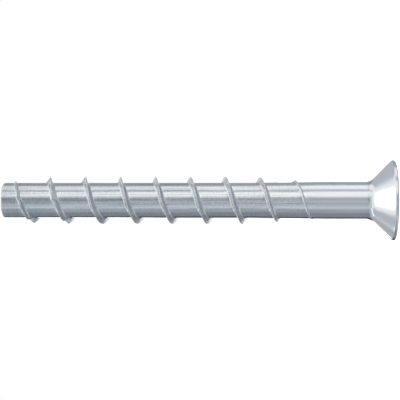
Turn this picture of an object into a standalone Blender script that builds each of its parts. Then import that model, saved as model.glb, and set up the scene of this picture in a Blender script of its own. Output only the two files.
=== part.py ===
"""A countersunk concrete screw, standing on its head.

The screw is one piece of steel: a headed blank with a coarse cutting ridge rolled onto its core.
Its axis is Z. The flat face of the head lies at z = 0 and the blunt tip points up.
The ridge is a single right-handed thread, described by how far it has turned from its first point
near the tip, in degrees.
"""
import math

import bmesh
import bpy
from mathutils import Vector

MM = 0.001

# Whole screw
LENGTH = 105.0 * MM
TURNED_SEGMENTS = 60
CHORD_ERROR = 0.02 * MM
MERGE_DISTANCE = 0.01 * MM
SHARP_ANGLE = 30.0

# Countersunk head: a short upright rim, a cone, and a hollow fillet at the neck
HEAD_DIAMETER = 21.6 * MM
HEAD_CONE_ANGLE = 90.0
RIM_HEIGHT = 0.8 * MM
FACE_EDGE_RADIUS = 0.25 * MM
RIM_EDGE_RADIUS = 0.15 * MM
NECK_RADIUS = 3.0 * MM

# Smooth shank below the head, the long taper from it to the threaded core, and the blunt tip
SHANK_DIAMETER = 10.0 * MM
SHANK_END = 18.6 * MM
TAPER_LENGTH = 20.0 * MM
CORE_DIAMETER = 9.4 * MM
TIP_EDGE_RADIUS = 0.35 * MM

# Cutting ridge: a thread with a narrow crest and steep flanks
THREAD_DIAMETER = 12.6 * MM
PITCH = 9.4 * MM
RIDGE_BASE_WIDTH = 1.5 * MM
RIDGE_CREST_WIDTH = 0.22 * MM
ROOT_FILLET_HEIGHT = 0.22 * MM
ROOT_FILLET_REACH = 0.33 * MM
RIDGE_START = 1.25 * MM
RIDGE_END = 17.8 * MM
START_AZIMUTH = 63.0
RING_STEP = 6.0
RUN_IN_ANGLE = 380.0
RUN_OUT_ANGLE = 780.0

# Saw teeth along the ridge's first two turns, each with a steep face towards the tip, and pressed
# down and sideways along its back
TOOTH_COUNT = 8
TOOTH_SPACING = 90.0
TOOTH_FACE_ANGLE = 6.0
FIRST_TOOTH_ANGLE = 66.0
FIRST_NOTCH_LEVEL = 0.25
LAST_NOTCH_LEVEL = 0.56
TOOTH_PUSH = 0.4 * MM

# Six-lobe drive recess in the face of the head, with a shallow cone as its floor
DRIVE_WIDTH = 8.95 * MM
DRIVE_WAIST = 6.45 * MM
DRIVE_LOBE_RADIUS = 0.8 * MM
DRIVE_LOBES = 6
DRIVE_DEPTH = 4.5 * MM
DRIVE_FLOOR_DEPTH = 0.9 * MM

# How far joined and cutting shapes pass through the surface that they meet, and how far the
# ridge's crest and its fillets' feet lie below that surface where they start
OVERRUN = 0.5 * MM
CREST_BURIED = 0.1 * MM
FOOT_BURIED = 0.11 * MM


def clear_scene():
    """Remove every object that the open file holds."""
    for old in list(bpy.data.objects):
        bpy.data.objects.remove(old, do_unlink=True)


def new_collection(name):
    group = bpy.data.collections.new(name)
    bpy.context.scene.collection.children.link(group)
    return group


def new_object(name, mesh, group):
    thing = bpy.data.objects.new(name, mesh)
    group.objects.link(thing)
    return thing


def zinc_plated_steel():
    """Bright zinc plating with a bluish cast."""
    material = bpy.data.materials.new("zinc_plated_steel")
    material.use_nodes = True
    shader = material.node_tree.nodes["Principled BSDF"]
    shader.inputs["Base Color"].default_value = (0.62, 0.65, 0.69, 1.0)
    shader.inputs["Metallic"].default_value = 1.0
    shader.inputs["Roughness"].default_value = 0.3
    return material


def polar(radius, angle):
    return Vector((radius * math.cos(angle), radius * math.sin(angle)))


def arc(centre, radius, start, sweep):
    """Points of an arc, with chords that stay within the allowed distance of the true curve."""
    widest_step = 2.0 * math.acos(1.0 - CHORD_ERROR / radius)
    steps = math.ceil(abs(sweep) / widest_step)
    return [centre + polar(radius, start + sweep * step / steps) for step in range(steps + 1)]


def rounded_corner(before, corner, after, radius):
    """The arc that rounds a corner, from the side of before to the side of after."""
    back = (before - corner).normalized()
    ahead = (after - corner).normalized()
    half_angle = back.angle(ahead) / 2.0
    reach = radius / math.tan(half_angle)
    centre = corner + (back + ahead).normalized() * (radius / math.sin(half_angle))
    first = corner + back * reach - centre
    last = corner + ahead * reach - centre
    start = math.atan2(first.y, first.x)
    sweep = math.remainder(math.atan2(last.y, last.x) - start, math.tau)
    return arc(centre, radius, start, sweep)


def screw_profile():
    """Half section of the screw without its ridge, as (radius, height) from the tip to the head."""
    head = HEAD_DIAMETER / 2.0
    shank = SHANK_DIAMETER / 2.0
    core = CORE_DIAMETER / 2.0
    cone_height = (head - shank) / math.tan(math.radians(HEAD_CONE_ANGLE) / 2.0)
    tip = Vector((core, LENGTH))
    neck = Vector((shank, RIM_HEIGHT + cone_height))
    rim = Vector((head, RIM_HEIGHT))
    face = Vector((head, 0.0))
    shank_end = Vector((shank, SHANK_END))
    core_end = Vector((core, SHANK_END + TAPER_LENGTH))
    tip_centre = Vector((0.0, LENGTH))
    face_centre = Vector((0.0, 0.0))
    return (
        [tip_centre]
        + rounded_corner(tip_centre, tip, core_end, TIP_EDGE_RADIUS)
        + [core_end, shank_end]
        + rounded_corner(shank_end, neck, rim, NECK_RADIUS)
        + rounded_corner(neck, rim, face, RIM_EDGE_RADIUS)
        + rounded_corner(rim, face, face_centre, FACE_EDGE_RADIUS)
        + [face_centre]
    )


def turned_screw(group):
    """The headed blank, turned round the axis from its half section."""
    profile = screw_profile()
    mesh = bpy.data.meshes.new("concrete_screw")
    points = [(point.x, 0.0, point.y) for point in profile]
    edges = [(i, i + 1) for i in range(len(points) - 1)]
    mesh.from_pydata(points, edges, [])
    screw = new_object("concrete_screw", mesh, group)
    turn = screw.modifiers.new("turned_profile", 'SCREW')
    turn.axis = 'Z'
    turn.angle = math.tau
    turn.steps = TURNED_SEGMENTS
    turn.render_steps = TURNED_SEGMENTS
    turn.use_merge_vertices = True
    turn.merge_threshold = MERGE_DISTANCE
    turn.use_smooth_shade = True
    return screw


def ridge_angle():
    """How far the ridge turns from its first point to its last, in degrees."""
    return (LENGTH - RIDGE_START - RIDGE_END) / PITCH * 360.0


def tooth_notch(turned):
    """Share of a notch's depth that is reached here, and the share of height that its bottom keeps.

    Each tooth stands at full height behind its steep face. From there it is pressed in, slowly at
    first and then faster, to a notch at the foot of the next face. The notches grow shallower from
    the tip on.
    """
    place = (turned - FIRST_TOOTH_ANGLE) / TOOTH_SPACING
    tooth = math.floor(place)
    if tooth < 0 or tooth >= TOOTH_COUNT:
        return 0.0, 1.0
    fade = tooth / (TOOTH_COUNT - 1)
    notch = FIRST_NOTCH_LEVEL + (LAST_NOTCH_LEVEL - FIRST_NOTCH_LEVEL) * fade
    back_length = 1.0 - TOOTH_FACE_ANGLE / TOOTH_SPACING
    along = place - tooth
    if along < back_length:
        return (along / back_length) ** 2, notch
    return (1.0 - along) / (1.0 - back_length), notch


def body_radius(height):
    """Radius of the core, the taper or the shank at a height along the ridge."""
    core = CORE_DIAMETER / 2.0
    shank = SHANK_DIAMETER / 2.0
    share = (height - SHANK_END) / TAPER_LENGTH
    return shank + (core - shank) * min(max(share, 0.0), 1.0)


def full_crest(turned, root):
    """Radius of the uncut crest, which rises out of the body near the tip, steeply at first and
    then ever more gently, and sinks back into the shank evenly."""
    run_in = 1.0 - (1.0 - min(turned / RUN_IN_ANGLE, 1.0)) ** 2
    run_out = (ridge_angle() - turned) / RUN_OUT_ANGLE
    buried = root - CREST_BURIED
    return buried + (THREAD_DIAMETER / 2.0 - buried) * min(run_in, run_out)


def half_width(radius, crest):
    """Half the ridge's width at a radius, below a narrow crest, between flanks of constant lean."""
    height = (THREAD_DIAMETER - CORE_DIAMETER) / 2.0
    lean = (RIDGE_BASE_WIDTH - RIDGE_CREST_WIDTH) / 2.0 / height
    return RIDGE_CREST_WIDTH / 2.0 + (crest - radius) * lean


def ridge_section(turned):
    """Outline of the ridge in the plane through the axis, as (radius, height) points.

    The foot of each flank spreads into a small fillet that passes into the body. Where a tooth is
    pressed in, the flank on the side of the tip moves towards the tip, and the narrow crest leans
    over with it.
    """
    middle = LENGTH - RIDGE_START - PITCH * turned / 360.0
    root = body_radius(middle)
    crest = full_crest(turned, root)
    pressed, notch = tooth_notch(turned)
    top = root + (crest - root) * (1.0 - (1.0 - notch) * pressed)
    pushed = middle + TOOTH_PUSH * pressed
    crest_edge = pushed + half_width(top, crest)
    flank_foot = min(root + ROOT_FILLET_HEIGHT, top)
    spread = half_width(root, crest) + ROOT_FILLET_REACH
    foot = [
        (root - OVERRUN, spread),
        (root - FOOT_BURIED, spread),
        (flank_foot, half_width(flank_foot, crest)),
    ]
    tip_side = [(radius, pushed + width) for radius, width in foot]
    head_side = [(radius, middle - width) for radius, width in reversed(foot)]
    return tip_side + [(top, crest_edge), (top, crest_edge - RIDGE_CREST_WIDTH)] + head_side


def ridge(group):
    """The cutting ridge, lofted between its sections and closed at both ends."""
    total = ridge_angle()
    stops = [step * RING_STEP for step in range(math.ceil(total / RING_STEP))]
    stops.append(total)
    form = bmesh.new()
    rings = []
    for turned in stops:
        azimuth = math.radians(START_AZIMUTH - turned)
        ring = []
        for radius, height in ridge_section(turned):
            place = (radius * math.cos(azimuth), radius * math.sin(azimuth), height)
            ring.append(form.verts.new(place))
        rings.append(ring)
    for ring, following in zip(rings, rings[1:]):
        for i in range(len(ring)):
            j = (i + 1) % len(ring)
            form.faces.new((ring[i], ring[j], following[j], following[i]))
    form.faces.new(rings[0])
    form.faces.new(rings[-1])
    bmesh.ops.recalc_face_normals(form, faces=form.faces)
    mesh = bpy.data.meshes.new("cutting_ridge")
    form.to_mesh(mesh)
    form.free()
    return new_object("cutting_ridge", mesh, group)


def drive_outline():
    """Six-lobe outline of the recess: small lobe arcs, joined by wide hollow arcs that touch them.

    A hollow arc's centre is as far from the next lobe's centre as the sum of both radii, and the
    hollow's radius follows from that.
    """
    lobe_centre = DRIVE_WIDTH / 2.0 - DRIVE_LOBE_RADIUS
    waist = DRIVE_WAIST / 2.0
    half_pitch = math.pi / DRIVE_LOBES
    reach = lobe_centre * math.cos(half_pitch)
    squares = DRIVE_LOBE_RADIUS ** 2 - lobe_centre ** 2 - waist ** 2 + 2.0 * reach * waist
    hollow_radius = squares / (2.0 * (waist - reach - DRIVE_LOBE_RADIUS))
    hollow_centre = waist + hollow_radius
    towards = polar(hollow_centre, half_pitch) - polar(lobe_centre, 0.0)
    touch_angle = math.atan2(towards.y, towards.x)
    outline = []
    for lobe in range(DRIVE_LOBES):
        middle = 2.0 * half_pitch * lobe
        lobe_end = polar(lobe_centre, middle)
        outline += arc(lobe_end, DRIVE_LOBE_RADIUS, middle - touch_angle, 2.0 * touch_angle)
        between = middle + half_pitch
        hollow = polar(hollow_centre, between)
        spread = touch_angle - half_pitch
        outline += arc(hollow, hollow_radius, between + math.pi + spread, -2.0 * spread)[1:-1]
    return outline


def drive_recess(group):
    """Cutter for the drive recess: a prism on the six-lobe outline, with a shallow cone on top."""
    form = bmesh.new()
    below = [form.verts.new((point.x, point.y, -OVERRUN)) for point in drive_outline()]
    face = form.faces.new(below)
    raised = bmesh.ops.extrude_face_region(form, geom=[face])["geom"]
    above = [item for item in raised if isinstance(item, bmesh.types.BMVert)]
    bmesh.ops.translate(form, verts=above, vec=(0.0, 0.0, OVERRUN + DRIVE_DEPTH))
    floor = [item for item in raised if isinstance(item, bmesh.types.BMFace)]
    apex = bmesh.ops.poke(form, faces=floor)["verts"]
    for vert in apex:
        vert.co = (0.0, 0.0, DRIVE_DEPTH + DRIVE_FLOOR_DEPTH)
    bmesh.ops.recalc_face_normals(form, faces=form.faces)
    mesh = bpy.data.meshes.new("drive_recess")
    form.to_mesh(mesh)
    form.free()
    return new_object("drive_recess", mesh, group)


def combine(screw, other, operation):
    """Join another shape to the screw or cut it away, and keep that shape as a hidden guide."""
    step = screw.modifiers.new(other.name, 'BOOLEAN')
    step.operation = operation
    step.object = other
    step.solver = 'EXACT'
    other.hide_render = True
    other.display_type = 'WIRE'


def finish(screw, material):
    """Make the modifiers' result the screw's own mesh, smooth apart from its sharp edges."""
    scene_graph = bpy.context.evaluated_depsgraph_get()
    result = bpy.data.meshes.new_from_object(screw.evaluated_get(scene_graph))
    result.name = screw.name
    screw.modifiers.clear()
    screw.data = result
    result.materials.clear()
    result.materials.append(material)
    result.shade_smooth()
    result.set_sharp_from_angle(angle=math.radians(SHARP_ANGLE))


clear_scene()
parts = new_collection("concrete_screw")
guides = new_collection("joined_and_cutting_shapes")
concrete_screw = turned_screw(parts)
combine(concrete_screw, ridge(guides), 'UNION')
combine(concrete_screw, drive_recess(guides), 'DIFFERENCE')
finish(concrete_screw, zinc_plated_steel())
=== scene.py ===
"""A countersunk concrete screw of zinc plated steel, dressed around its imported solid.

The screw stands on the flat face of its head, tip up, with its axis on Z. Everything is in metres.
"""
import math

import bmesh
import bpy
import numpy as np
from mathutils import Matrix


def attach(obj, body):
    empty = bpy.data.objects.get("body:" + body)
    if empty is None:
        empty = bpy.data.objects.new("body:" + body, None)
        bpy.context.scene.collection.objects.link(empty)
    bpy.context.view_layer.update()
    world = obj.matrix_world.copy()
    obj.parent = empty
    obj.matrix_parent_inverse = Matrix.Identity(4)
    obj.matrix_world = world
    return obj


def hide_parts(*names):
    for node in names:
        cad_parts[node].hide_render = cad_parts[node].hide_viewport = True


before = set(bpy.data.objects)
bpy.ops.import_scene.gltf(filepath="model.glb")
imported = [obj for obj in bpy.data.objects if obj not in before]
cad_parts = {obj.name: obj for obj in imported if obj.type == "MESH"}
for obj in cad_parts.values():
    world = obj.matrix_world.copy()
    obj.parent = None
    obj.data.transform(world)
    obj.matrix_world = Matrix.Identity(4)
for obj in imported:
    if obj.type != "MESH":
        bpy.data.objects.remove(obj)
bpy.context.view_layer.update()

# Place of view
# The photograph shows the screw square from the side, lying across the picture with its tip to the
# left, from 0.27 m away. The standing screw is seen so with the camera on its side. The camera
# stood across from the screw's lower third, so the lens is shifted towards the tip.
photo_distance = 0.272
photo_foot_height = 0.0335
photo_middle_height = 0.05237
photo_axis_offset = 0.00008
photo_width = 0.10776
sensor_width = 36.0
nearest_seen = 0.01
farthest_seen = 20.0
camera = bpy.data.objects.new("photo_camera", bpy.data.cameras.new("photo_camera"))
camera.data.sensor_width = sensor_width
camera.data.lens = sensor_width * photo_distance / photo_width
camera.data.shift_x = (photo_foot_height - photo_middle_height) / photo_width
camera.data.clip_start = nearest_seen
camera.data.clip_end = farthest_seen
camera.matrix_world = Matrix((
    (0.0, 1.0, 0.0, photo_axis_offset),
    (0.0, 0.0, -1.0, -photo_distance),
    (-1.0, 0.0, 0.0, photo_foot_height),
    (0.0, 0.0, 0.0, 1.0),
))
bpy.context.scene.collection.objects.link(camera)
bpy.context.scene.camera = camera
bpy.context.scene.view_settings.view_transform = 'Standard'

# The screw
# One piece of cold-formed steel: a wire blank with an upset countersunk head and a six-lobe recess,
# a coarse ridge rolled out of its core, and saw teeth pressed into the ridge's first two turns.
mm = 0.001
length = 105.0 * mm
column_step = 2.0
start_azimuth = 63.0
crease_angle = 32.0
weld_distance = 0.0005 * mm

# The turned blank, from the head's face to the tip
head_radius = 10.8 * mm
rim_height = 0.8 * mm
face_edge_radius = 0.25 * mm
rim_edge_radius = 0.20 * mm
neck_radius = 3.0 * mm
shank_radius = 5.0 * mm
shank_end = 18.6 * mm
taper_length = 20.0 * mm
core_radius = 4.7 * mm
tip_edge_radius = 0.35 * mm

# The ridge. Its crest leans towards the head by the offset, and the rolls slipped that way a little.
thread_radius = 6.3 * mm
pitch = 9.4 * mm
crest_width = 0.18 * mm
crest_offset = 0.09 * mm
ridge_slip = 0.04 * mm
tip_flank_lean = 0.35
head_flank_lean = 0.34
tip_crest_edge = 0.07 * mm
head_crest_edge = 0.16 * mm
foot_fillet = 0.38 * mm
largest_edge_share = 0.3
largest_fillet_share = 0.5
least_height = 0.01 * mm
crest_buried = 0.1 * mm
ridge_start = 1.25 * mm
ridge_end = 17.8 * mm
run_in_angle = 380.0
run_out_angle = 780.0
strip_lead_angle = 240.0
strip_bottom = 16.2 * mm

# The teeth along the ridge's first two turns
tooth_count = 8
tooth_spacing = 90.0
tooth_face_angle = 6.0
first_tooth_angle = 66.0
first_notch_level = 0.25
last_notch_level = 0.56
tooth_push = 0.4 * mm

# The drive recess in the head's face
drive_radius = 4.475 * mm
drive_waist_radius = 3.225 * mm
drive_lobe_radius = 0.8 * mm
drive_mouth_edge = 0.1 * mm
drive_depth = 4.5 * mm
drive_floor_depth = 0.9 * mm


def body_radius(height):
    """Radius below the ridge: the shank's up to its end, the core's above the taper, and linear
    along the taper between them."""
    share = np.clip((height - shank_end) / taper_length, 0.0, 1.0)
    return shank_radius + (core_radius - shank_radius) * share


def ridge_levels(turned, height):
    """Root, uncut crest and top of the ridge as radii, and how far its foot on the side of the tip
    is pushed that way, where it has turned so many degrees.

    The crest rises from just under the body by 1 - (1-t)(1-t) of the full height, where t goes from
    0 to 1 over the run-in, and sinks back in proportion to the angle that is left. A tooth is
    pressed in along its back, by the square of the way along it, to a notch, and comes back evenly
    over its steep face.
    """
    total = (length - ridge_start - ridge_end) / pitch * 360.0
    root = body_radius(height)
    run_in = 1.0 - (1.0 - np.clip(turned / run_in_angle, 0.0, 1.0)) ** 2
    rise = np.clip(np.minimum(run_in, (total - turned) / run_out_angle), 0.0, 1.0)
    crest = root - crest_buried + (thread_radius - root + crest_buried) * rise
    place = (turned - first_tooth_angle) / tooth_spacing
    tooth = np.clip(np.floor(place), 0, tooth_count - 1)
    along = np.clip(place - tooth, 0.0, 1.0)
    notch = first_notch_level + (last_notch_level - first_notch_level) * tooth / (tooth_count - 1)
    back = 1.0 - tooth_face_angle / tooth_spacing
    pressed = np.where(along < back, (along / back) ** 2, (1.0 - along) / (1.0 - back))
    pressed = np.where((place < 0.0) | (place >= tooth_count), 0.0, pressed)
    top = np.maximum(root, root + (crest - root) * (1.0 - (1.0 - notch) * pressed))
    return root, np.maximum(crest, root), top, tooth_push * pressed


def bent(first, corner, last, share):
    """Point on the parabola from first to last that touches both sides of the corner: the mean of
    the three, weighted by (1-t)(1-t), 2t(1-t) and tt."""
    return (1.0 - share) ** 2 * first + 2.0 * share * (1.0 - share) * corner + share ** 2 * last


def half_section(root, crest, top, lean, edge, crest_shift, foot_shift):
    """One side of the ridge's section, from its crest to the middle of the groove.

    The rows are: the crest's rounded edge, the straight flank, the fillet at its foot, and the bare
    body. A row's place is its distance along the axis from the middle of the uncut crest, and its
    radius. The crest and the flank's foot are shifted outwards from where an uncut ridge has them,
    whose flank leans by so much for its height. On a low ridge the edge and the fillet shrink with
    the height.
    """
    height = top - root
    top_place = crest_width / 2.0 + crest_shift
    foot_place = crest_width / 2.0 + (crest - root) * lean + foot_shift
    lean = (foot_place - top_place) / np.maximum(height, least_height)
    slope = np.hypot(1.0, lean)
    edge = np.minimum(edge, largest_edge_share * height)
    fillet = np.minimum(foot_fillet, largest_fillet_share * height)
    edge_end = (top_place + edge * lean / slope, top - edge / slope)
    fillet_start = (foot_place - fillet * lean / slope, root + fillet / slope)
    rows = []
    for share in (0.0, 0.25, 0.5, 0.75, 1.0):
        rows.append((
            bent(top_place - edge, top_place, edge_end[0], share),
            bent(top, top, edge_end[1], share),
        ))
    for share in (0.33, 0.67):
        rows.append((
            edge_end[0] + (fillet_start[0] - edge_end[0]) * share,
            edge_end[1] + (fillet_start[1] - edge_end[1]) * share,
        ))
    for share in (0.0, 0.2, 0.4, 0.6, 0.8, 1.0):
        rows.append((
            bent(fillet_start[0], foot_place, foot_place + fillet, share),
            bent(fillet_start[1], root, root, share),
        ))
    groove = foot_place + fillet
    for share in (0.25, 0.5, 0.75, 1.0):
        rows.append((groove + (pitch / 2.0 - groove) * share, root))
    return np.stack([row[0] for row in rows], 1), np.stack([row[1] for row in rows], 1)


def grid_faces(columns, rows, closed):
    """Quads of a grid whose points are numbered column by column."""
    count = columns if closed else columns - 1
    column = np.repeat(np.arange(count), rows - 1)
    row = np.tile(np.arange(rows - 1), count)
    following = (column + 1) % columns
    first = column * rows + row
    second = following * rows + row
    return np.stack([first, second, second + 1, first + 1], 1)


def threaded_strip():
    """The threaded core as one strip, wound round the axis and one pitch wide.

    A column of points lies every two degrees along the ridge, in a plane through the axis. The last
    row of one turn is the first row of the next. Heights stop at the tip's rounding and at a circle
    on the shank.
    """
    first = -column_step * math.ceil(strip_lead_angle / column_step)
    last_height = strip_bottom - pitch / 2.0
    last = (length - ridge_start - last_height) / pitch * 360.0
    turned = np.arange(first, last + column_step, column_step)
    middle = length - ridge_start - pitch * turned / 360.0 - ridge_slip
    root, crest, top, push = ridge_levels(turned, middle)
    crest_shift = push + (crest - top) * tip_flank_lean - crest_offset
    tip_side = half_section(root, crest, top, tip_flank_lean, tip_crest_edge, crest_shift, push)
    head_side = half_section(
        root, crest, top, head_flank_lean, head_crest_edge, -crest_shift, np.zeros_like(push)
    )
    across = np.concatenate([tip_side[0][:, ::-1], -head_side[0]], 1)
    radius = np.concatenate([tip_side[1][:, ::-1], head_side[1]], 1)
    share = (radius - root[:, None]) / (thread_radius - core_radius)
    height = np.clip(middle[:, None] + across, strip_bottom, length - tip_edge_radius)
    radius = radius - root[:, None] + body_radius(height)
    azimuth = np.radians(start_azimuth - turned)[:, None]
    points = np.stack([radius * np.cos(azimuth), radius * np.sin(azimuth), height], 2)
    along = np.repeat(np.radians(turned)[:, None] * thread_radius, radius.shape[1], 1)
    course = np.stack([along, across, share], 2)
    faces = grid_faces(len(turned), radius.shape[1], False)
    return points.reshape(-1, 3), course.reshape(-1, 3), faces


def full_turn():
    """Azimuths of the columns of one whole turn, which go the same way round as the ridge."""
    columns = round(360.0 / column_step)
    return np.radians(start_azimuth - column_step * np.arange(columns))[:, None]


def turned_rows(radius, height):
    """Surface of revolution through rows of radius and height, which may vary with the azimuth.
    It lies off the ridge, so its place along, across and up the ridge is nought."""
    azimuth = full_turn()
    radius = np.broadcast_to(radius, (len(azimuth), radius.shape[-1]))
    height = np.broadcast_to(height, radius.shape)
    points = np.stack([radius * np.cos(azimuth), radius * np.sin(azimuth), height], 2)
    points = points.reshape(-1, 3)
    return points, np.zeros_like(points), grid_faces(len(azimuth), radius.shape[1], True)


def tip():
    """The blunt tip: a quarter round at its edge, then a flat face in to the centre."""
    angle = np.radians(np.linspace(0.0, 90.0, 8))
    inner = core_radius - tip_edge_radius
    flat = np.array([0.8, 0.55, 0.3, 0.12, 0.0]) * inner
    radius = np.concatenate([inner + tip_edge_radius * np.cos(angle), flat])
    rounding = length - tip_edge_radius * (1.0 - np.sin(angle))
    height = np.concatenate([rounding, np.full_like(flat, length)])
    return turned_rows(radius[::-1], height[::-1])


def drive_outline(azimuth):
    """Radius of the six-lobe outline: the far side of a small lobe circle near each lobe's middle,
    and elsewhere the near side of a wide hollow circle that touches the lobes beside it."""
    half_pitch = math.pi / 6.0
    lobe_centre = drive_radius - drive_lobe_radius
    reach = lobe_centre * math.cos(half_pitch)
    squares = drive_lobe_radius ** 2 - lobe_centre ** 2 - drive_waist_radius ** 2
    squares += 2.0 * reach * drive_waist_radius
    hollow_radius = squares / (2.0 * (drive_waist_radius - reach - drive_lobe_radius))
    hollow_centre = drive_waist_radius + hollow_radius
    rise = hollow_centre * math.sin(half_pitch)
    run = hollow_centre * math.cos(half_pitch) - lobe_centre
    touch = math.atan2(rise, run)
    touch_azimuth = math.atan2(
        drive_lobe_radius * math.sin(touch), lobe_centre + drive_lobe_radius * math.cos(touch)
    )
    from_lobe = np.abs((azimuth + half_pitch) % (2.0 * half_pitch) - half_pitch)
    from_hollow = half_pitch - from_lobe
    lobe_side = np.clip(lobe_centre * np.sin(from_lobe), 0.0, drive_lobe_radius)
    lobe = lobe_centre * np.cos(from_lobe) + np.sqrt(drive_lobe_radius ** 2 - lobe_side ** 2)
    hollow_side = np.clip(hollow_centre * np.sin(from_hollow), 0.0, hollow_radius)
    hollow = hollow_centre * np.cos(from_hollow) - np.sqrt(hollow_radius ** 2 - hollow_side ** 2)
    return np.where(from_lobe < touch_azimuth, lobe, hollow)


def round_corner(centre_radius, centre_height, radius, start, end, steps):
    """Rows of an arc round a centre, between two angles in degrees from the outward direction."""
    angle = np.radians(np.linspace(start, end, steps + 1))
    return centre_radius + radius * np.cos(angle), centre_height + radius * np.sin(angle)


def shank_and_head():
    """Plain shank, hollow neck, cone, rim and face, then the mouth, wall and floor of the recess.

    The face's rows pass from the rim's circle to the recess's outline in equal shares.
    """
    cone_sum = head_radius + rim_height
    neck_centre = cone_sum - shank_radius + neck_radius * math.tan(math.pi / 8.0)
    neck = round_corner(shank_radius + neck_radius, neck_centre, neck_radius, 180.0, 225.0, 12)
    rim_centre = rim_height - rim_edge_radius * math.tan(math.pi / 8.0)
    rim = round_corner(head_radius - rim_edge_radius, rim_centre, rim_edge_radius, 45.0, 0.0, 3)
    edge = round_corner(head_radius - face_edge_radius, face_edge_radius, face_edge_radius,
                        0.0, -90.0, 6)
    shank_height = np.linspace(strip_bottom, neck[1][0], 8)[:-1]
    cone_radius = np.linspace(neck[0][-1], rim[0][0], 12)[1:-1]
    shank = np.full_like(shank_height, shank_radius)
    radius = np.concatenate([shank, neck[0], cone_radius, rim[0], edge[0]])
    height = np.concatenate([shank_height, neck[1], cone_sum - cone_radius, rim[1], edge[1]])
    outline = drive_outline(full_turn())
    mouth = outline + drive_mouth_edge
    share = np.array([0.15, 0.35, 0.55, 0.75, 0.9, 1.0])
    face = edge[0][-1] + (mouth - edge[0][-1]) * share
    angle = np.radians(np.array([30.0, 60.0, 90.0]))
    turn_in = mouth - drive_mouth_edge * np.sin(angle)
    turn_height = drive_mouth_edge * (1.0 - np.cos(angle))
    wall_height = drive_depth - np.array([3.8, 2.9, 1.9, 0.9, 0.2, 0.0]) * mm
    wall = np.repeat(outline, len(wall_height), 1)
    inward = np.array([0.06, 0.25, 0.5, 0.75, 1.0])
    floor = outline * (1.0 - inward)
    plain = np.broadcast_to(radius, (len(outline), len(radius)))
    radius = np.concatenate([plain, face, turn_in, wall, floor], 1)
    height = np.concatenate([
        height,
        np.zeros_like(share),
        turn_height,
        wall_height,
        drive_depth + drive_floor_depth * inward,
    ])
    return turned_rows(radius, height)


def joined_mesh(name, surfaces):
    """One mesh of several grids. Points that lie in the same place become one, and faces that
    shrink to a line go. Each face corner keeps its place along, across and up the ridge."""
    points = np.concatenate([surface[0] for surface in surfaces])
    course = np.concatenate([surface[1] for surface in surfaces])
    first = np.cumsum([0] + [len(surface[0]) for surface in surfaces[:-1]])
    faces = np.concatenate([surface[2] + start for surface, start in zip(surfaces, first)])
    mesh = bpy.data.meshes.new(name)
    mesh.vertices.add(len(points))
    mesh.vertices.foreach_set("co", points.astype(np.float32).ravel())
    mesh.loops.add(faces.size)
    mesh.loops.foreach_set("vertex_index", faces.astype(np.int32).ravel())
    mesh.polygons.add(len(faces))
    mesh.polygons.foreach_set("loop_start", np.arange(0, faces.size, 4, dtype=np.int32))
    mesh.polygons.foreach_set("loop_total", np.full(len(faces), 4, dtype=np.int32))
    mesh.update(calc_edges=True)
    place = mesh.attributes.new("ridge_course", 'FLOAT_VECTOR', 'CORNER')
    place.data.foreach_set("vector", course[faces.ravel()].astype(np.float32).ravel())
    form = bmesh.new()
    form.from_mesh(mesh)
    bmesh.ops.remove_doubles(form, verts=form.verts, dist=weld_distance)
    bmesh.ops.dissolve_degenerate(form, edges=form.edges, dist=weld_distance)
    bmesh.ops.recalc_face_normals(form, faces=form.faces)
    form.to_mesh(mesh)
    form.free()
    mesh.shade_smooth()
    mesh.set_sharp_from_angle(angle=math.radians(crease_angle))
    return mesh


screw = bpy.data.objects.new(
    "screw", joined_mesh("screw", [threaded_strip(), tip(), shank_and_head()])
)
bpy.context.scene.collection.objects.link(screw)


class Signal:
    """A socket in a node tree. Python's operators on it add the Math nodes of an expression."""

    def __init__(self, tree, socket=None):
        self.tree = tree
        self.socket = socket

    def node(self, kind, settings=None, inputs=None, output=0):
        """Add a node: first its settings, then the values or links of its sockets."""
        added = self.tree.nodes.new(kind)
        for name, value in (settings or {}).items():
            setattr(added, name, value)
        for name, value in (inputs or {}).items():
            if isinstance(value, Signal):
                self.tree.links.new(value.socket, added.inputs[name])
            else:
                added.inputs[name].default_value = value
        return Signal(self.tree, added.outputs[output])

    def math(self, operation, *values):
        """A Math node on values or signals."""
        return self.node("ShaderNodeMath", {"operation": operation}, dict(enumerate(values)))

    def __add__(self, other):
        return self.math('ADD', self, other)

    __radd__ = __add__

    def __sub__(self, other):
        return self.math('SUBTRACT', self, other)

    def __rsub__(self, other):
        return self.math('SUBTRACT', other, self)

    def __mul__(self, other):
        return self.math('MULTIPLY', self, other)

    __rmul__ = __mul__

    def rising(self, start, end):
        """0 up to start, 1 from end on, and a smooth step between them."""
        return self.node(
            "ShaderNodeMapRange",
            {"interpolation_type": 'SMOOTHSTEP'},
            {"Value": self, "From Min": start, "From Max": end},
        )

    def mixed(self, first, second):
        """Colour that passes from first to second as this value goes from 0 to 1."""
        return self.node(
            "ShaderNodeMix",
            {"data_type": 'RGBA'},
            {"Factor": self, 6: first, 7: second},
            output=2,
        )

    def noise(self, scale, stretch, detail=2.0):
        """Noise over this vector, with so many cells a metre, stretched along each axis."""
        placed = self.node(
            "ShaderNodeVectorMath", {"operation": 'MULTIPLY'}, {0: self, 1: stretch}
        )
        return self.node(
            "ShaderNodeTexNoise",
            None,
            {"Vector": placed, "Scale": scale, "Detail": detail, "Roughness": 0.55},
        )


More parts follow.
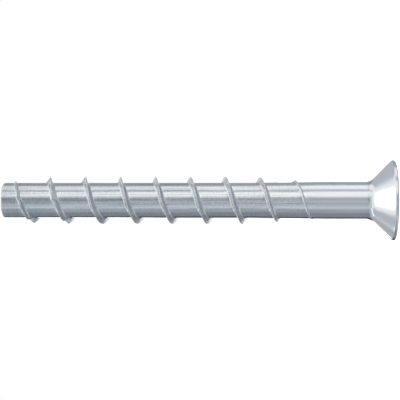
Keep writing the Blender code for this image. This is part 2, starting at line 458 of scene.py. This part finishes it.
def zinc_plating():
    """Bright zinc on cold-formed steel: lines drawn along the screw and fine worn streaks where the
    ridge was rolled, turning marks near the tip, and thin clouds of lavender and green in the bluish
    grey. The ridge itself is a little darker and duller."""
    bluish_grey = (0.700, 0.722, 0.736, 1.0)
    lavender = (0.722, 0.724, 0.748, 1.0)
    green = (0.683, 0.733, 0.726, 1.0)
    bluer_grey = (0.674, 0.722, 0.744, 1.0)
    rolled_grey = (0.650, 0.675, 0.700, 1.0)
    worn_grey = (0.360, 0.380, 0.400, 1.0)
    material = bpy.data.materials.new("zinc_plating")
    material.use_nodes = True
    tree = material.node_tree
    shader = tree.nodes["Principled BSDF"]
    place = Signal(tree).node("ShaderNodeTexCoord", output="Object")
    height = place.node("ShaderNodeSeparateXYZ", None, {0: place}, output="Z")
    course = place.node(
        "ShaderNodeAttribute", {"attribute_name": "ridge_course"}, output="Vector"
    )
    up_ridge = place.node("ShaderNodeSeparateXYZ", None, {0: course}, output="Z")

    near_tip = height.rising(90.0 * mm, 104.5 * mm)
    threaded = height.rising(18.0 * mm, 29.0 * mm)
    upper_part = height.rising(40.0 * mm, 80.0 * mm)
    on_ridge = up_ridge.rising(0.03, 0.25)

    drawn_lines = place.noise(1300.0, (1.0, 1.0, 0.012), 3.0)
    streaks = place.noise(3200.0, (1.0, 1.0, 0.018))
    mottling = place.noise(2300.0, (0.6, 0.6, 1.0), 3.0)
    turning_marks = place.noise(2600.0, (0.02, 0.02, 1.0))
    rolling_marks = course.noise(2400.0, (0.05, 1.0, 1.0))
    clouds = place.noise(260.0, (1.0, 1.0, 0.6), 3.0)
    green_clouds = place.noise(410.0, (1.0, 1.0, 0.5))
    grain = place.noise(5200.0, (1.0, 1.0, 1.0))

    tint = clouds.rising(0.42, 0.62).mixed(bluish_grey, lavender)
    tint = (green_clouds.rising(0.48, 0.64) * 0.65).mixed(tint, green)
    tint = (upper_part * 0.5).mixed(tint, bluer_grey)
    tint = (on_ridge * 0.35).mixed(tint, rolled_grey)
    worn = (streaks + mottling * 0.6 - 0.8) * (threaded * 1.5 + 0.1) + 0.15
    worn = worn + near_tip * (turning_marks - 0.21)
    tint = worn.mixed(tint, worn_grey)

    roughness = 0.19 + on_ridge * 0.04 + near_tip * 0.02
    roughness = roughness + (clouds - 0.5) * 0.08 + (drawn_lines - 0.5) * 0.05 * threaded

    shape = (drawn_lines - 0.5) * (0.2 + 0.8 * threaded) * 0.007
    shape = shape + (turning_marks - 0.5) * (0.08 + near_tip) * 0.008
    shape = shape + (rolling_marks - 0.5) * on_ridge * 0.008
    shape = shape + (grain - 0.5) * 0.0012
    marks = place.node(
        "ShaderNodeBump", None, {"Strength": 1.0, "Distance": 1.0 * mm, "Height": shape}
    )
    tree.links.new(tint.socket, shader.inputs["Base Color"])
    tree.links.new(roughness.socket, shader.inputs["Roughness"])
    tree.links.new(marks.socket, shader.inputs["Normal"])
    shader.inputs["Metallic"].default_value = 1.0
    return material


screw.data.materials.append(zinc_plating())
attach(screw, "root")
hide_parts("concrete_screw")

# Floor
# A wide pale sheet under the head's face. The camera sees it white, with the screw's faint shadow,
# and the metal looks past it at the lamps, as it does in the photograph.
floor_reach = 4.0
floor_height = -0.02 * mm
floor_grey = (0.82, 0.82, 0.82, 1.0)
floor_glow = 0.8
floor_mesh = bpy.data.meshes.new("floor")
floor_mesh.from_pydata(
    [
        (-floor_reach, -floor_reach, floor_height),
        (floor_reach, -floor_reach, floor_height),
        (floor_reach, floor_reach, floor_height),
        (-floor_reach, floor_reach, floor_height),
    ],
    [],
    [(0, 1, 2, 3)],
)
floor = bpy.data.objects.new("floor", floor_mesh)
bpy.context.scene.collection.objects.link(floor)
floor_paint = bpy.data.materials.new("pale_floor")
floor_paint.use_nodes = True
floor_paint.node_tree.nodes.clear()
canvas = Signal(floor_paint.node_tree)
seen = canvas.node("ShaderNodeLightPath", output="Is Camera Ray")
matt = canvas.node("ShaderNodeBsdfDiffuse", None, {"Color": floor_grey})
glow = canvas.node("ShaderNodeEmission", None, {"Strength": seen * floor_glow})
both = canvas.node("ShaderNodeAddShader", None, {0: matt, 1: glow})
floor_output = floor_paint.node_tree.nodes.new("ShaderNodeOutputMaterial")
floor_paint.node_tree.links.new(both.socket, floor_output.inputs["Surface"])
floor_mesh.materials.append(floor_paint)
floor.visible_glossy = False
floor.visible_shadow = False

# Studio
# A white room, which the metal shows as the camera does. Out of the camera's view, softboxes and
# grey cards stand upright round the screw, and one broad softbox hangs above its tip: the metal
# shows them as its bright and dark bands. All angles are in degrees. A bearing goes from the camera
# towards +X, and rise and fall are measured from the level.
room = bpy.data.worlds.new("studio")
room.use_nodes = True
bpy.context.scene.world = room
room_tree = room.node_tree
direction = Signal(room_tree).node("ShaderNodeTexCoord", output="Generated")
east = direction.node("ShaderNodeSeparateXYZ", None, {0: direction}, output="X")
north = direction.node("ShaderNodeSeparateXYZ", None, {0: direction}, output="Y")
up = direction.node("ShaderNodeSeparateXYZ", None, {0: direction}, output="Z")
bearing = direction.math('ARCTAN2', east, north * -1.0) * math.degrees(1.0)
other_bearing = bearing * -1.0
turned_away = direction.math('ABSOLUTE', bearing)
rise = direction.math('ARCSINE', up) * math.degrees(1.0)
fall = rise * -1.0
seen_by_camera = direction.node("ShaderNodeLightPath", output="Is Camera Ray")
seen_in_metal = direction.node("ShaderNodeLightPath", output="Is Glossy Ray")
seen_through_glass = direction.node("ShaderNodeLightPath", output="Is Transmission Ray")


def between(angle, start, end, soft):
    """1 from one angle to another and 0 beyond them, with soft sides."""
    return angle.rising(start - soft, start + soft) - angle.rising(end - soft, end + soft)


def upright(light, start, end, soft, colour):
    """The light with an upright softbox or card from one bearing to another."""
    return between(bearing, start, end, soft).mixed(light, colour)


# The room is white, and a little dimmer for the light that it throws than for the eye.
watched = direction.math('MINIMUM', seen_by_camera + seen_in_metal + seen_through_glass, 1.0)
white = watched.mixed((0.90, 0.90, 0.90, 1.0), (1.0, 1.0, 1.0, 1.0))

# Softboxes and cards towards +X, from the camera round to behind the screw
light = upright(white, -172.0, 170.0, 3.0, (0.56, 0.60, 0.65, 1.0))
softbox = bearing.rising(13.0, 27.0) - bearing.rising(54.0, 59.0)
light = softbox.mixed(light, (1.38, 1.36, 1.36, 1.0))
light = upright(light, 59.5, 69.0, 2.0, (0.68, 0.69, 0.72, 1.0))
softbox = bearing.rising(69.0, 76.0) - bearing.rising(99.0, 114.0)
light = softbox.mixed(light, (1.30, 1.31, 1.38, 1.0))
light = upright(light, 113.0, 170.0, 5.0, (0.47, 0.51, 0.54, 1.0))
fading = rise.rising(-4.0, 8.0) * 0.22
light = fading.mixed(light, (0.0, 0.0, 0.0, 1.0))
edge = between(bearing, 46.0, 56.0, 3.0) * rise.rising(0.0, 5.0)
light = edge.mixed(light, (1.32, 1.30, 1.33, 1.0))

# Grey cards towards -X, from the camera round to behind, and the dark gap over the camera
light = upright(light, -16.0, -3.0, 3.0, (0.65, 0.70, 0.77, 1.0))
light = upright(light, -26.0, -16.0, 2.5, (0.50, 0.54, 0.59, 1.0))
light = upright(light, -40.0, -26.0, 2.5, (0.61, 0.67, 0.73, 1.0))
light = upright(light, -57.0, -40.0, 3.0, (0.72, 0.77, 0.84, 1.0))
light = upright(light, -94.0, -57.0, 4.0, (0.43, 0.47, 0.52, 1.0))
light = upright(light, -112.0, -86.0, 6.0, (0.28, 0.31, 0.35, 1.0))
light = upright(light, -131.0, -112.0, 5.0, (0.27, 0.29, 0.32, 1.0))
light = upright(light, -173.0, -131.0, 4.0, (0.09, 0.11, 0.13, 1.0))
gap = between(bearing, -7.0, 9.0, 4.0) * rise.rising(0.0, 7.0)
light = (gap * 0.38).mixed(light, (0.10, 0.12, 0.14, 1.0))
gap = between(bearing, -25.0, 17.0, 4.0) * rise.rising(11.0, 14.5)
light = (gap * 0.75).mixed(light, (0.20, 0.23, 0.27, 1.0))

# What hangs higher, which shows where the metal leans up: the sides of the ridge and the cone
light = rise.rising(14.5, 21.0).mixed(light, (0.62, 0.65, 0.71, 1.0))
above = between(bearing, -66.0, 112.0, 9.0) * rise.rising(38.0, 46.0)
light = above.mixed(light, (1.16, 1.19, 1.25, 1.0))
above = turned_away.rising(112.0, 125.0) * rise.rising(36.0, 46.0)
light = above.mixed(light, (0.63, 0.66, 0.71, 1.0))
leaning = between(bearing, 25.0, 112.0, 7.0) * between(rise, 15.0, 41.0, 3.0)
light = leaning.mixed(light, (1.24, 1.23, 1.26, 1.0))
gap = between(bearing, 58.0, 70.0, 4.0) * between(rise, 10.0, 40.0, 4.0)
light = gap.mixed(light, (0.70, 0.72, 0.76, 1.0))
leaning = between(bearing, -62.0, 25.0, 7.0) * between(rise, 16.5, 41.0, 3.0)
light = leaning.mixed(light, (0.75, 0.78, 0.82, 1.0))
gap = between(bearing, -14.0, 14.0, 5.0) * between(rise, 11.0, 26.0, 3.0)
light = (gap * 0.45).mixed(light, (0.20, 0.23, 0.27, 1.0))

# What stands behind the screw, which shows along its outline
behind = bearing.rising(148.0, 158.0) * rise.rising(4.0, 12.0)
light = behind.mixed(light, (0.65, 0.65, 0.65, 1.0))
behind = bearing.rising(156.0, 168.0) * between(rise, 17.0, 29.0, 3.0)
light = behind.mixed(light, white)
behind = other_bearing.rising(146.0, 156.0) * rise.rising(14.0, 19.0)
light = behind.mixed(light, (0.53, 0.525, 0.53, 1.0))
behind = other_bearing.rising(153.0, 162.0) * between(rise, 7.0, 20.0, 2.0)
light = behind.mixed(light, (2.40, 2.40, 2.40, 1.0))
behind = turned_away.rising(166.0, 174.0) * rise.rising(18.0, 24.0)
light = behind.mixed(light, (0.80, 0.81, 0.84, 1.0))

# A card and a long lamp low on the dark side, and the broad softbox above the tip
card = between(bearing, -146.0, -127.0, 4.0) * between(rise, 19.0, 36.0, 4.0)
light = card.mixed(light, (0.54, 0.56, 0.58, 1.0))
lamp = between(bearing, -124.0, -56.0, 5.0) * between(rise, 37.0, 43.0, 3.0)
light = lamp.mixed(light, (2.0, 2.0, 2.0, 1.0))
overhead = up + east * 0.035
light = overhead.rising(0.866, 0.904).mixed(light, (1.16, 1.17, 1.18, 1.0))
overhead = up + east * 0.05
light = overhead.rising(0.930, 0.962).mixed(light, (1.80, 1.80, 1.78, 1.0))

# Below the level: the table's tone, its darker and brighter parts, and a low lamp
light = fall.rising(8.0, 17.0).mixed(light, (0.47, 0.50, 0.54, 1.0))
light = fall.rising(32.0, 42.0).mixed(light, (0.60, 0.63, 0.67, 1.0))
table = bearing.rising(118.0, 135.0) * fall.rising(6.0, 14.0)
light = table.mixed(light, (0.50, 0.51, 0.53, 1.0))
table = other_bearing.rising(122.0, 136.0) * fall.rising(6.0, 14.0)
light = table.mixed(light, (0.30, 0.30, 0.33, 1.0))
table = between(bearing, -140.0, -92.0, 6.0) * between(fall, 8.0, 34.0, 4.0)
light = table.mixed(light, (0.36, 0.38, 0.42, 1.0))
table = other_bearing.rising(159.0, 167.0) * between(fall, 13.0, 28.0, 2.5)
light = table.mixed(light, (1.50, 1.50, 1.50, 1.0))
lamp = between(bearing, -92.0, -45.0, 6.0) * between(fall, 10.0, 28.0, 3.0)
light = lamp.mixed(light, (0.78, 0.80, 0.85, 1.0))
light = seen_by_camera.mixed(light, white)
background = room_tree.nodes["Background"]
room_tree.links.new(light.socket, background.inputs["Color"])
